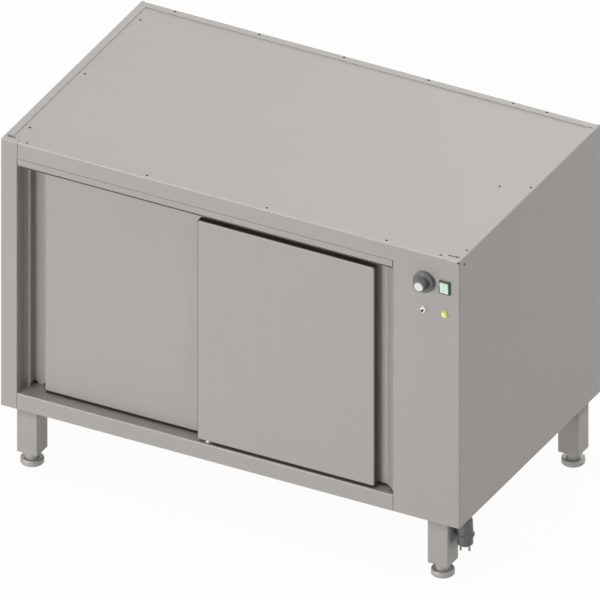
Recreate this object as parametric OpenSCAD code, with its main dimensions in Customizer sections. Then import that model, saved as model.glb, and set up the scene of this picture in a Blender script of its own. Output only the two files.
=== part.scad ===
/* [Cabinet] */
// Width of the cabinet body
body_w = 1115; // [1000:5:1300]
// Depth of the cabinet body
body_d = 650; // [600:5:750]
// Height from the floor to the top flanges
total_h = 813; // [760:1:900]
// Length of leg that shows under the body
leg_h = 112; // [100:1:150]
// Height of a levelling foot under its leg
foot_h = 33; // [28:1:42]
// Thickness of the casing sheet
sheet = 1.5; // [1.2:0.1:2]
// Thickness of the liner and door sheet
liner = 1; // [0.8:0.1:1.2]
// Inside radius of every sheet bend
bend_r = 1.5; // [1:0.1:2]
// Width of the flanges round the top
flange_w = 20; // [18:0.5:24]
// Thickness of the insulated walls
wall_t = 60; // [50:1:80]

/* [Front] */
// Width of the stile at the left of the opening
stile_w = 40; // [35:1:50]
// Width of the control fascia at the right of the opening
fascia_w = 162; // [155:1:190]
// Height of the bottom rail
rail_h = 40; // [36:1:50]
// Height of the header
header_h = 40; // [36:0.5:46]
// Height of the face of the track, flush under the header
strip_h = 16; // [12:0.5:20]
// Depth of the return behind the stile
return_d = 36.5; // [30:0.5:44]
// Width of the lip at the end of that return
lip_w = 13; // [10:0.5:18]
// Width of the finger bevel beside the fascia
bevel_w = 27; // [22:1:32]

/* [Doors] */
// Thickness of a door
door_t = 18; // [16:0.5:20]
// Depth of the front door's face behind the front of the cabinet
door_front = 4; // [3.5:0.5:6]
// Distance from one door's face to the other's
door_pitch = 26; // [24:0.5:30]
// Overlap of the closed doors
door_overlap = 44; // [36:1:52]
// Finger gap at the left of the closed doors
finger_gap_left = 52; // [46:1:60]
// Finger gap at the right of the closed doors
finger_gap_right = 48; // [44:1:56]
// Gap under the doors
door_foot_gap = 6; // [4:0.5:10]
// Gap over the doors
door_head_gap = 19; // [16:0.5:24]
// Diameter of a hanger roller
roller_d = 20; // [18:0.5:22]
// Diameter of a floor guide peg
guide_d = 9.5; // [8:0.5:10]

/* [Legs] */
// Width of a square leg
leg_w = 50; // [45:1:60]
// Wall of a leg tube
leg_wall = 2; // [1.5:0.1:3]
// Distance of the front legs from the sides
leg_side_inset = 33.5; // [33:0.5:40]
// Distance of the rear legs from the sides
rear_leg_inset = 1.5; // [1.5:0.5:30]
// Distance of the front legs from the front
leg_front_inset = 10; // [8:0.5:16]
// Distance of the rear legs from the back
leg_back_inset = 49.5; // [20:0.5:70]
// Diameter of a foot's disc
foot_d = 52; // [44:1:52]
// Height of a foot's disc
foot_disc_h = 15; // [10:0.5:18]
// Diameter of a foot's neck
foot_neck_d = 32; // [26:1:38]
// Diameter of a foot's stem
foot_stem_d = 12; // [10:0.5:16]

/* [Controls] */
// Distance of the knob's axis from the right side
knob_side = 85; // [80:1:100]
// Distance of the knob's axis below the top
knob_drop = 70.5; // [60:0.5:80]
// Diameter of the knob's skirt
knob_d = 50; // [44:1:54]
// Diameter of the knob's barrel
knob_barrel_d = 28; // [24:1:32]
// How far the knob stands out of the fascia
knob_proud = 28; // [24:1:34]
// Distance of the switch and lamp from the right side
switch_side = 35; // [30:1:40]
// Distance of the switch's centre below the top
switch_drop = 72; // [60:1:80]
// Width of the switch bezel
switch_w = 25; // [22:0.5:28]
// Height of the switch bezel
switch_h = 31; // [28:0.5:34]
// Distance of the reset button and lamp below the top
button_drop = 139.5; // [125:0.5:160]
// Diameter of the reset button
button_d = 5.5; // [4:0.5:7]
// Diameter of the indicator lamp
lamp_d = 15; // [12:0.5:18]

/* [Plug and lead] */
// Drop of the plug's collar below the body
plug_drop = 44; // [44:1:60]
// Diameter of the plug's collar
plug_collar_d = 42; // [38:0.5:42]
// Diameter of the mains lead
cord_d = 8; // [7:0.5:9]
// Length of mains lead between the gland and the plug
cord_len = 55; // [54:1:80]

/* [Worktop fixing] */
// Diameter of the fixing holes
fix_d = 6; // [5:0.5:7.5]
// Number of holes along the header's flange
front_holes = 4; // [2:1:6]
// Number of holes along the back flange
back_holes = 5; // [3:1:7]

/* [Hidden] */
$fn = 48;

// Overrun of every cut past the faces that it goes through
over = 1;
// Segments in each sheet bend
bend_steps = 5;
// Gap between flat faces of pieces that move past each other
slide_gap = 0.3;
// Radial clearance of a running fit
run_gap = 0.05;
// Gap round slabs and blocks that only fill a space
fill_gap = 0.5;
// Set-back of the insulation behind the gaps and holes that it could be seen through
wool_back = 30;

// Heights and places of the casing
base_z = foot_h + leg_h;
bend_out = bend_r + sheet;
open_x0 = stile_w;
open_x1 = body_w - fascia_w;
open_z0 = base_z + rail_h;
open_z1 = total_h - header_h - strip_h;
header_z = total_h - header_h;
panel_top_z = total_h - sheet;
panel_under_z = panel_top_z - sheet;
flange_edge_w = 8;
flange_slit = 1.5;
stile_flange_w = 14;
corner_slit_w = 8;
fascia_slit_from_side = 35;
fascia_slit_y = 14;
fascia_return = 5;
corner_relief = 2.5;
header_seam = 1;
strip_seam = 0.8;
corner_slot_l = 22;
corner_slot_w = 3;
corner_slot_y = stile_flange_w + corner_slot_w;
left_slot_x = 6;
right_slot_in = 14;
right_slot_x = body_w - right_slot_in - corner_slot_l;
back_slot_l = 10;
back_slot_in = 9;
back_slot_x = body_w - back_slot_in - back_slot_l;
back_slot_y = body_d - flange_w - corner_slot_w / 2;

// Doors
door_w = (open_x1 - open_x0 - finger_gap_left - finger_gap_right + door_overlap) / 2;
door_z0 = open_z0 + door_foot_gap;
door_z1 = open_z1 - door_head_gap;
left_door_x = open_x0 + finger_gap_left;
right_door_x = open_x1 - finger_gap_right - door_w;
left_door_y = door_front + door_pitch;
right_door_y = door_front;
overlap_x = (right_door_x + left_door_x + door_w) / 2;

// Guide channel in the foot of a door, and its pegs
door_lip = 2.9;
channel_wall = 1;
channel_h = 13;
channel_inset = 8;
channel_inner_w = guide_d + 2 * slide_gap;
channel_w = channel_inner_w + 2 * channel_wall;
guide_reach = 9;
guide_spigot_d = 6;
guide_spigot_l = 8;

// Track, hangers and rollers
track_y = 2 * sheet;
track_h = 45;
track_lip_w = 10;
roller_w = 6;
hanger_plate_t = 2;
hanger_plate_w = 20;
hanger_foot_w = 40;
hanger_foot_d = 12;
hanger_inset = 60;
hanger_sunk = 10;
hanger_top = 10;
axle_d = 6;
axle_collar_d = 9;
axle_head_l = 1;
rail_z = open_z1 + sheet;
axle_z = rail_z + slide_gap + roller_d / 2;
roller_from_wall = 2.5;
roller_chamfer = 0.8;

// Jambs
jamb_gap_left = 8;
jamb_gap_right = 5;
jamb_overlap_left = 13;
jamb_overlap_right = 16;
jamb_return = 20;
jamb_flange = 30;
jamb_left_y = left_door_y + door_t + jamb_gap_left;
jamb_right_y = right_door_y + door_t + jamb_gap_right;
jamb_left_x = left_door_x + jamb_overlap_left;
jamb_right_x = right_door_x + door_w - jamb_overlap_right;
jamb_z0 = door_z0 + slide_gap;

// Heated chamber
chamber_x0 = wall_t;
partition_inset = 48;
chamber_x1 = open_x1 - partition_inset;
chamber_y1 = body_d - wall_t;
chamber_z1 = open_z1 - 2 * liner;
sill_d = jamb_left_y + sheet + liner;
wall_flange_w = 15;
ceiling_lip = 25;
floor_flange = 20;
pan_edge = 25;

// Mains plug, its lead and the gland
plug_gap = 1;
plug_x = body_w - leg_side_inset + plug_collar_d / 2 + plug_gap;
plug_y = 48;
collar_z = base_z - plug_drop;
plug_collar_h = 7;
plug_upper_h = 32;
plug_taper_h = 6;
plug_upper_d = 37;
plug_waist_d = 33.8;
plug_tip_d = 14;
plug_lower_d = 36;
plug_lower_h = 22;
plug_chamfer = 3.5;
collar_chamfer = 1.5;
pin_d = 4.8;
pin_l = 16;
pin_pitch = 19;
pin_sunk = 10;
pin_turn = 20;
plug_top_z = collar_z + plug_collar_h + plug_upper_h + plug_taper_h;
gland_z = plug_top_z + cord_len;
gland_taper_h = 22;
gland_nose_d = 11;
gland_root_d = 14;
gland_flange_d = 18;
gland_flange_h = 4;
gland_thread_d = 12;
gland_thread_h = 14;
gland_nut_h = 5;
control_floor_z = gland_z + gland_taper_h + gland_flange_h;
window_back = 110;
window_partition = 15;
lead_notch = 12;

// Fan, heater and grille
fan_y = body_d / 2;
fan_z = (open_z0 + open_z1) / 2;
fan_hole_d = 150;
partition_slab_t = 24;
grille_w = 190;
grille_t = 1.5;
grille_slots = 11;
grille_slot_w = 6;
grille_frame = 25;
grille_field_w = grille_w - 2 * grille_frame;
bracket_margin = 20;
bracket_w = grille_w + 2 * bracket_margin;
bracket_t = 2;
bracket_off = 94;
post_d = 10;
post_inset = 14;
bracket_hole_d = 24;
motor_d = 80;
motor_l = 60;
motor_shaft_d = 8;
motor_shaft_l = 40;
impeller_d = 120;
impeller_plate_t = 2;
impeller_blade_l = 32;
impeller_blade_t = 1.5;
impeller_blade_depth = 18;
impeller_blades = 16;
impeller_hub_d = 24;
impeller_hub_l = 16;
impeller_gap = 22;
blade_turn = 35;
element_d = 190;
element_tube_d = 8;
element_sleeve_d = 10;
element_gap = 40;
element_from_wall = 45;
element_arc = 320;

// Shelf
shelf_gap = 2;
shelf_edge = 25;
shelf_z = (open_z0 + chamber_z1) / 2;
bracket_leg = 24;
bracket_drop = 40;
bracket_run = 40;
bracket_inset = 60;
shelf_x0 = chamber_x0 + shelf_gap;
shelf_x1 = chamber_x1 - shelf_gap;
shelf_y0 = jamb_left_y + sheet + jamb_return + shelf_gap;
shelf_y1 = chamber_y1 - shelf_gap;

// Levelling feet
foot_edge_r = 4;
foot_stem_l = 45;
insert_h = 22;
insert_gap = 0.1;
leg_corner_r = 3;

// Controls
knob_x = body_w - knob_side;
knob_z = total_h - knob_drop;
knob_skirt_h = 8;
knob_skirt_edge = 1.5;
knob_air = 0.6;
knob_shaft_d = 6;
knob_shaft_l = 30;
knob_taper = 1;
cap_d = 20;
cap_t = 1.6;
cap_proud = 0.6;
shaft_hole_gap = 0.6;
thermostat_w = 40;
thermostat_t = 34;
switch_x = body_w - switch_side;
switch_z = total_h - switch_drop;
switch_proud = 5;
switch_rim = 2;
switch_body_t = 24;
switch_wall = 1.5;
rocker_t = 3;
rocker_gap = 0.8;
rocker_tilt = 5;
rocker_pin_d = 2.4;
rocker_pin_l = 1.2;
rocker_pin_y = 2.2;
rocker_fin_h = 6;
rocker_set = 1;
rocker_well = 8;
switch_floor = 0.5;
button_side = 86;
button_x = body_w - button_side;
button_z = total_h - button_drop;
button_proud = 11;
button_l = 30;
bush_wall = 3;
bush_proud = 7;
bush_l = 14;
bush_nut_d = 15;
bush_nut_h = 3;
bush_thread_d = button_d + bush_wall;
lamp_x = switch_x;
lamp_z = button_z;
lamp_proud = 7;
lamp_rim_h = 2;
lamp_body_d = 11;
lamp_body_l = 28;
fit_gap = 0.2;

// Terminal block on the control compartment's floor
terminal_w = 46;
terminal_d = 24;
terminal_h = 22;
terminal_ways = 3;
terminal_hole_d = 5;
terminal_side = 60;
terminal_y = 200;

// Worktop fixing holes
header_hole_in = 20;
front_hole_y = 9.5;
fascia_hole_side = 50;
back_hole_y = 7;
back_hole_first = 85;
back_hole_last_side = 208;
back_hole_extra_side = 126;
left_hole_x = 34;
left_hole_spread = 254.5;
right_hole_side = 73;
flange_hole_side = 10;
flange_hole_first = 53;
flange_hole_pitch = 296;
side_hole_y = 24;
side_hole_drop = 17;

steel = [0.68, 0.67, 0.65];
pale_steel = [0.74, 0.73, 0.71];
dark_plastic = [0.27, 0.27, 0.28];
white_plastic = [0.93, 0.93, 0.91];
black_plastic = [0.08, 0.08, 0.08];
green_plastic = [0.20, 0.27, 0.22];
mint_plastic = [0.78, 0.93, 0.83];
yellow_plastic = [0.93, 0.87, 0.25];
wool = [0.85, 0.80, 0.60];
copper = [0.72, 0.45, 0.30];
brass = [0.80, 0.68, 0.40];

// Folded sheet: a path of outer corners is given a thickness on one side and rounded at each bend

function along(a, b) = (b - a) / norm(b - a);
function left_of(v) = [-v[1], v[0]];
function turned(v, angle) = [v[0] * cos(angle) - v[1] * sin(angle), v[0] * sin(angle) + v[1] * cos(angle)];
function turn_at(a, b, c) = let (u = along(a, b), v = along(b, c)) atan2(u[0] * v[1] - u[1] * v[0], u * v);
function backwards(list) = [for (i = [len(list) - 1:-1:0]) list[i]];

// The path moved sideways, mitred at its corners
function moved(path, off) = let (last = len(path) - 1) [
    for (i = [0:last])
        let (before = left_of(along(path[max(i - 1, 0)], path[max(i, 1)])),
            after = left_of(along(path[min(i, last - 1)], path[min(i + 1, last)])))
        path[i] + off * (before + after) / (1 + before * after)];

// The points that round one corner
function bend(a, b, c, r) = let (angle = turn_at(a, b, c), side = sign(angle), u = along(a, b),
    centre = b - u * r * tan(abs(angle) / 2) + side * r * left_of(u)) [
    for (k = [0:bend_steps]) centre - side * r * turned(left_of(u), angle * k / bend_steps)];

// One face of the sheet, with the outer radius on the outside of each bend
function face(path, off, side, t) = let (p = moved(path, off), last = len(p) - 1) concat([p[0]], [
    for (i = [1:1:last - 1])
        let (outer = (sign(turn_at(p[i - 1], p[i], p[i + 1])) == side) == (off == 0))
        each bend(p[i - 1], p[i], p[i + 1], outer ? bend_r + t : bend_r)], [p[last]]);

// side is 1 where the sheet lies to the left of the path and -1 where it lies to the right
module folded(path, side = 1, t = sheet) {
    polygon(concat(face(path, 0, side, t), backwards(face(path, side * t, side, t))));
}

module placed() {
    translate([-body_w / 2, (knob_proud - body_d) / 2, 0]) children();
}

// A plan outline, carried up from one height to another
module upright(z0, z1) {
    translate([0, 0, z0]) linear_extrude(z1 - z0) children();
}

// A side outline (depth, height), carried across from one x to another
module across(x0, x1) {
    translate([x0, 0, 0]) rotate([90, 0, 90]) linear_extrude(x1 - x0) children();
}

// A front outline (x, height), carried back from one depth to another
module backed(y0, y1) {
    translate([0, y1, 0]) rotate([90, 0, 0]) linear_extrude(y1 - y0) children();
}

module block(low, high) {
    translate(low) cube(high - low);
}

// Turns a shape so that its +Z points out of the cabinet's front
module facing_front(x, y, z) {
    translate([x, y, z]) rotate([90, 0, 0]) children();
}

// Turns a shape so that its +Z points to the right
module facing_right(x, y, z) {
    translate([x, y, z]) rotate([0, 90, 0]) children();
}

module rounded_square(w, r) {
    polygon([for (k = [0:3], j = [0:bend_steps])
        let (corner = [(k == 0 || k == 3) ? 1 : -1, k < 2 ? 1 : -1] * (w / 2 - r),
            angle = 90 * k + 90 * j / bend_steps)
        corner + r * [cos(angle), sin(angle)]]);
}

// Worktop fixing holes, as a list of places in plan
front_hole_pitch = (open_x1 - open_x0 - 2 * header_hole_in) / (front_holes - 1);
back_hole_pitch = (body_w - back_hole_first - back_hole_last_side) / (back_holes - 1);
header_hole_places = [for (i = [0:front_holes - 1])
    [open_x0 + header_hole_in + i * front_hole_pitch, front_hole_y]];
fascia_hole_places = [[body_w - fascia_hole_side, front_hole_y]];
back_hole_places = concat([for (i = [0:back_holes - 1])
    [back_hole_first + i * back_hole_pitch, body_d - back_hole_y]],
    [[body_w - back_hole_extra_side, body_d - back_hole_y]]);
right_flange_places = [for (i = [0:1])
    [body_w - flange_hole_side, flange_hole_first + i * flange_hole_pitch]];
panel_hole_places = concat([for (i = [-1:1]) [left_hole_x, body_d / 2 + i * left_hole_spread]],
    [[body_w - right_hole_side, body_d / 2]]);

module fixing_holes(places) {
    for (p = places)
        translate([p[0], p[1], panel_under_z - over])
            cylinder(h = total_h - panel_under_z + 2 * over, d = fix_d);
}

module left_side_panel() color(steel) placed() {
    upright(base_z, total_h - bend_out)
        folded([[0, body_d], [0, 0], [stile_w, 0], [stile_w, return_d]]);
    upright(open_z0, open_z1)
        folded([[stile_w, return_d / 2], [stile_w, return_d], [stile_w + lip_w, return_d]]);
    backed(stile_flange_w + corner_slit_w, body_d - flange_w)
        folded([[0, total_h - flange_w], [0, total_h], [flange_w, total_h]], -1);
    backed(bend_out, body_d)
        folded([[0, total_h - flange_w], [0, total_h], [flange_edge_w, total_h]], -1);
    across(bend_out, stile_w)
        folded([[0, header_z], [0, total_h], [stile_flange_w, total_h]], -1);
}

module control_side_panel() color(steel) placed() difference() {
    union() {
        upright(base_z, total_h - bend_out)
            folded([[body_w, body_d], [body_w, 0], [open_x1, 0], [open_x1, fascia_return]], -1);
        backed(flange_w + flange_slit, body_d - flange_w - flange_slit)
            folded([[body_w, total_h - flange_w], [body_w, total_h], [body_w - flange_w, total_h]]);
        backed(bend_out, body_d)
            folded([[body_w, total_h - flange_w], [body_w, total_h], [body_w - flange_edge_w, total_h]]);
        across(open_x1, body_w - bend_out)
            folded([[0, header_z], [0, total_h], [fascia_slit_y, total_h]], -1);
        across(open_x1, body_w - fascia_slit_from_side)
            folded([[0, header_z], [0, total_h], [flange_w, total_h]], -1);
    }
    fixing_holes(concat(fascia_hole_places, right_flange_places));
    facing_right(body_w - sheet - over, side_hole_y, total_h - side_hole_drop)
        cylinder(h = sheet + 2 * over, d = fix_d);
    facing_front(knob_x, sheet + over, knob_z)
        cylinder(h = sheet + 2 * over, d = knob_shaft_d + 2 * shaft_hole_gap);
    facing_front(button_x, sheet + over, button_z)
        cylinder(h = sheet + 2 * over, d = bush_thread_d + 2 * fit_gap);
    facing_front(lamp_x, sheet + over, lamp_z)
        cylinder(h = sheet + 2 * over, d = lamp_body_d + 2 * fit_gap);
    switch_cutout();
    block([body_w - bend_out - corner_relief, -over, total_h - bend_out - corner_relief],
        [body_w + over, bend_out, total_h - bend_out + over]);
}

module switch_cutout() {
    w = switch_w - 2 * switch_rim + 2 * fit_gap;
    h = switch_h - 2 * switch_rim + 2 * fit_gap;
    block([switch_x - w / 2, -over, switch_z - h / 2], [switch_x + w / 2, sheet + over, switch_z + h / 2]);
}

module back_panel() color(steel) placed() difference() {
    union() {
        across(sheet, body_w - sheet)
            folded([[body_d, base_z], [body_d, total_h - bend_out]]);
        across(flange_edge_w, body_w - flange_edge_w)
            folded([[body_d, header_z], [body_d, total_h], [body_d - flange_w, total_h]]);
    }
    fixing_holes(back_hole_places);
    back_slot();
}

module top_panel() color(pale_steel) placed() difference() {
    block([bend_out, bend_out, panel_under_z], [body_w - bend_out, body_d - bend_out, panel_top_z]);
    fixing_holes(concat(header_hole_places, fascia_hole_places, back_hole_places, right_flange_places,
        panel_hole_places));
    for (x = [left_slot_x, right_slot_x])
        block([x, corner_slot_y, panel_under_z - over],
            [x + corner_slot_l, corner_slot_y + corner_slot_w, panel_top_z + over]);
    back_slot();
}

module back_slot() block([back_slot_x, back_slot_y, panel_under_z - over],
    [back_slot_x + back_slot_l, back_slot_y + corner_slot_w, total_h + over]);

module base_pan() color(steel) placed() difference() {
    across(bend_out, body_w - bend_out)
        folded([[sheet, base_z + pan_edge], [sheet, base_z], [body_d - sheet, base_z],
            [body_d - sheet, base_z + pan_edge]]);
    block([chamber_x1 + window_partition, leg_front_inset + leg_w + plug_gap, base_z - over],
        [body_w, body_d - window_back, base_z + sheet + over]);
    block([plug_x - lead_notch, plug_y - lead_notch, base_z - over],
        [body_w, leg_front_inset + leg_w + 2 * plug_gap, base_z + sheet + over]);
    block([stile_w - bend_out, 0, base_z - over],
        [stile_w + fill_gap, return_d + fill_gap, base_z + pan_edge + over]);
    block([open_x1 - fill_gap, 0, base_z - over],
        [open_x1 + bend_out, fascia_return + fill_gap, base_z + pan_edge + over]);
}

module front_header() color(steel) placed() difference() {
    across(open_x0 + header_seam, open_x1)
        folded([[0, header_z], [0, total_h], [flange_w, total_h]], -1);
    fixing_holes(header_hole_places);
}

module bottom_rail() color(steel) placed() difference() {
    across(open_x0, open_x1)
        folded([[0, base_z], [0, open_z0], [sill_d, open_z0]], -1);
    for (y = [right_door_y, left_door_y])
        translate([overlap_x, y + door_t / 2, open_z0 - sheet - over])
            cylinder(h = sheet + 2 * over, d = guide_spigot_d + 2 * fit_gap);
}

module left_jamb() color(steel) placed() upright(jamb_z0, chamber_z1)
    folded([[open_x0 + fill_gap, return_d + sheet], [open_x0 + lip_w, return_d + sheet],
        [open_x0 + lip_w, jamb_left_y], [jamb_left_x, jamb_left_y],
        [jamb_left_x, jamb_left_y + sheet + jamb_return]]);

module right_jamb() color(steel) placed() upright(jamb_z0, open_z1)
    folded([[open_x1 + jamb_flange, fascia_return], [open_x1, fascia_return],
        [open_x1 - bevel_w, jamb_right_y], [jamb_right_x, jamb_right_y],
        [jamb_right_x, jamb_right_y + sheet + jamb_return]], -1);

module door_track() color(steel) placed() {
    across(open_x0, open_x1) {
        translate([track_y, open_z1 + track_h - sheet]) square([2 * door_pitch + sheet, sheet]);
        for (k = [0:2])
            translate([track_y + k * door_pitch, open_z1]) square([sheet, track_h]);
        for (k = [1:2])
            translate([track_y + k * door_pitch - track_lip_w, open_z1])
                square([track_lip_w + sheet, sheet]);
    }
    across(open_x0 + header_seam, open_x1 - header_seam) {
        translate([0, open_z1]) square([sheet, strip_h - strip_seam]);
        translate([0, open_z1]) square([track_y + sheet, sheet]);
    }
}

module floor_guide() color(white_plastic) placed()
    for (y = [right_door_y, left_door_y])
        translate([overlap_x, y + door_t / 2, open_z0]) {
            cylinder(h = door_foot_gap + guide_reach, d = guide_d);
            translate([0, 0, -guide_spigot_l]) cylinder(h = guide_spigot_l, d = guide_spigot_d);
        }

module inner_left_wall() color(pale_steel) placed() upright(open_z0, chamber_z1)
    folded([[chamber_x0, chamber_y1], [chamber_x0, sill_d], [chamber_x0 + wall_flange_w, sill_d]],
        -1, liner);

module inner_back_wall() color(pale_steel) placed()
    block([chamber_x0, chamber_y1, open_z0], [chamber_x1, chamber_y1 + liner, chamber_z1]);

module inner_ceiling() color(pale_steel) placed() {
    block([chamber_x0, sill_d + liner, chamber_z1], [chamber_x1, chamber_y1 + liner, chamber_z1 + liner]);
    across(jamb_left_x + fill_gap, jamb_right_x - fill_gap)
        folded([[jamb_left_y, chamber_z1 - ceiling_lip], [jamb_left_y, chamber_z1 + liner],
            [sill_d + wall_flange_w, chamber_z1 + liner]], -1, liner);
}

module inner_floor() color(pale_steel) placed() backed(sill_d, chamber_y1 + liner)
    folded([[chamber_x0 - liner, open_z0 - floor_flange], [chamber_x0 - liner, open_z0],
        [chamber_x1 + liner, open_z0], [chamber_x1 + liner, base_z + sheet]], -1, liner);

module partition_wall() color(pale_steel) placed() difference() {
    union() {
        upright(jamb_z0, chamber_z1)
            folded([[chamber_x1, sill_d + wall_flange_w], [chamber_x1, jamb_right_y + sheet],
                [chamber_x1 + wall_flange_w, jamb_right_y + sheet]]);
        block([chamber_x1, sill_d, open_z0], [chamber_x1 + sheet, body_d - sheet, panel_under_z]);
        block([chamber_x1, jamb_right_y + 2 * sheet, control_floor_z],
            [body_w - sheet, body_d - sheet, control_floor_z + sheet]);
    }
    block([chamber_x1 - over, jamb_right_y + sheet + bend_out, control_floor_z - over],
        [chamber_x1, sill_d, control_floor_z + sheet + over]);
    facing_right(chamber_x1 - over, fan_y, fan_z) cylinder(h = sheet + 2 * over, d = fan_hole_d);
    translate([plug_x, plug_y, control_floor_z - over])
        cylinder(h = sheet + 2 * over, d = gland_thread_d + 2 * fit_gap);
}

module insulation() color(wool) placed() {
    low_z = base_z + sheet + fill_gap;
    high_z = panel_under_z - wool_back;
    rear_y = body_d - 2 * sheet - fill_gap;
    block([sheet + fill_gap, sill_d + wool_back, low_z], [chamber_x0 - liner - fill_gap, rear_y, high_z]);
    block([chamber_x0, chamber_y1 + liner + fill_gap, low_z], [chamber_x1 - fill_gap, rear_y, high_z]);
    block([chamber_x0, sill_d + fill_gap, chamber_z1 + liner + fill_gap],
        [chamber_x1 - fill_gap, chamber_y1 - fill_gap, high_z]);
    block([chamber_x0 + fill_gap, sill_d + fill_gap, low_z],
        [chamber_x1 - fill_gap, chamber_y1 - fill_gap, open_z0 - liner - fill_gap]);
    difference() {
        block([chamber_x1 + sheet + fill_gap, sill_d, control_floor_z + sheet + fill_gap],
            [chamber_x1 + sheet + partition_slab_t, rear_y, high_z]);
        facing_right(chamber_x1, fan_y, fan_z)
            cylinder(h = 2 * partition_slab_t, d = element_d + element_gap);
        for (dy = [-1, 1], dz = [-1, 1])
            facing_right(chamber_x1, fan_y + dy * (bracket_w / 2 - post_inset),
                fan_z + dz * (bracket_w / 2 - post_inset))
                cylinder(h = 2 * partition_slab_t, d = post_d + 2 * fill_gap);
    }
}

// A door is placed by its lower front left corner

function hanger_places(x) = [x + hanger_inset, x + door_w - hanger_inset];

module door_skin(x, y) color(steel) placed() {
    upright(door_z0 + bend_r + liner, door_z1 - bend_r - liner)
        folded([[x, y + door_lip], [x, y], [x + door_w, y], [x + door_w, y + door_lip]], 1, liner);
    across(x + bend_r + liner, x + door_w - bend_r - liner)
        folded([[y + door_lip, door_z0], [y, door_z0], [y, door_z1], [y + door_lip, door_z1]], -1, liner);
}

module door_back(x, y) color(pale_steel) placed()
    block([x, y + door_t - liner, door_z0], [x + door_w, y + door_t, door_z1]);

// The core shows as a dark edge between the skin and the back plate
module door_core(x, y) color(black_plastic) placed() difference() {
    inset = bend_r + liner;
    union() {
        block([x + inset, y + liner, door_z0 + inset],
            [x + door_w - inset, y + door_t - liner, door_z1 - inset]);
        block([x, y + door_lip, door_z0], [x + door_w, y + door_t - liner, door_z1]);
    }
    block([x + channel_inset, y + door_t / 2 - channel_w / 2, door_z0 - over],
        [x + door_w - channel_inset, y + door_t / 2 + channel_w / 2, door_z0 + channel_h]);
    for (hx = hanger_places(x))
        hanger_plates(hx, y + door_t / 2);
}

module door_channel(x, y) color(white_plastic) placed() difference() {
    mid = y + door_t / 2;
    block([x + channel_inset, mid - channel_w / 2, door_z0],
        [x + door_w - channel_inset, mid + channel_w / 2, door_z0 + channel_h]);
    block([x + channel_inset - over, mid - channel_inner_w / 2, door_z0 - over],
        [x + door_w - channel_inset + over, mid + channel_inner_w / 2, door_z0 + channel_h - channel_wall]);
}

// Depth of a door's roller, beside the wall of its track
function roller_y(y) = y - door_front + track_y + door_pitch - roller_from_wall;

// The upright plate of a hanger and the foot that holds it in the door
module hanger_plates(hx, mid) {
    foot_z = door_z1 - hanger_sunk - hanger_plate_t;
    block([hx - hanger_foot_w / 2, mid - hanger_foot_d / 2, foot_z],
        [hx + hanger_foot_w / 2, mid + hanger_foot_d / 2, foot_z + hanger_plate_t]);
    block([hx - hanger_plate_w / 2, mid - hanger_plate_t / 2, foot_z],
        [hx + hanger_plate_w / 2, mid + hanger_plate_t / 2, axle_z + hanger_top]);
}

module door_hangers(x, y) color(black_plastic) placed()
    for (hx = hanger_places(x)) {
        mid = y + door_t / 2;
        back = roller_y(y);
        hanger_plates(hx, mid);
        facing_front(hx, back + slide_gap, axle_z)
            cylinder(h = back + slide_gap - mid, d = axle_d);
        facing_front(hx, back - roller_w - slide_gap, axle_z)
            cylinder(h = back - roller_w - slide_gap - mid, d = axle_collar_d);
        facing_front(hx, back + slide_gap + axle_head_l, axle_z)
            cylinder(h = axle_head_l, d = axle_collar_d);
    }

module door_roller(hx, y) color(white_plastic) placed() facing_front(hx, roller_y(y), axle_z)
    rotate_extrude()
        polygon([[axle_d / 2 + run_gap, 0], [roller_d / 2 - roller_chamfer, 0],
            [roller_d / 2, roller_chamfer], [roller_d / 2, roller_w - roller_chamfer],
            [roller_d / 2 - roller_chamfer, roller_w], [axle_d / 2 + run_gap, roller_w]]);

// Middles of the legs in plan
front_leg_x0 = leg_side_inset + leg_w / 2;
front_leg_x1 = body_w - front_leg_x0;
front_leg_y = leg_front_inset + leg_w / 2;
rear_leg_x0 = rear_leg_inset + leg_w / 2;
rear_leg_x1 = body_w - rear_leg_x0;
rear_leg_y = body_d - leg_back_inset - leg_w / 2;
leg_places = [[front_leg_x0, front_leg_y], [front_leg_x1, front_leg_y], [rear_leg_x0, rear_leg_y],
    [rear_leg_x1, rear_leg_y]];

module leg(k) color(steel) placed() translate([leg_places[k][0], leg_places[k][1], foot_h])
    linear_extrude(leg_h) difference() {
        rounded_square(leg_w, leg_corner_r);
        rounded_square(leg_w - 2 * leg_wall, leg_corner_r - leg_wall / 2);
    }

module leg_inserts() color(dark_plastic) placed()
    for (p = leg_places)
        translate([p[0], p[1], foot_h]) difference() {
            linear_extrude(insert_h)
                rounded_square(leg_w - 2 * leg_wall - 2 * insert_gap, leg_corner_r - leg_wall / 2);
            translate([0, 0, -over])
                cylinder(h = insert_h + 2 * over, d = foot_stem_d + 2 * run_gap);
        }

module foot(k) color(pale_steel) placed() translate([leg_places[k][0], leg_places[k][1], 0]) rotate_extrude()
    polygon(concat([[0, 0], [foot_d / 2 - foot_edge_r / 2, 0], [foot_d / 2, foot_edge_r / 2]],
        [for (k = [0:bend_steps]) let (angle = 90 * k / bend_steps)
            [foot_d / 2 - foot_edge_r * (1 - cos(angle)), foot_disc_h - foot_edge_r * (1 - sin(angle))]],
        [[foot_neck_d / 2, foot_disc_h], [foot_neck_d / 2, foot_h - slide_gap],
            [foot_stem_d / 2, foot_h - slide_gap], [foot_stem_d / 2, foot_h + foot_stem_l],
            [0, foot_h + foot_stem_l]]));

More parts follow.
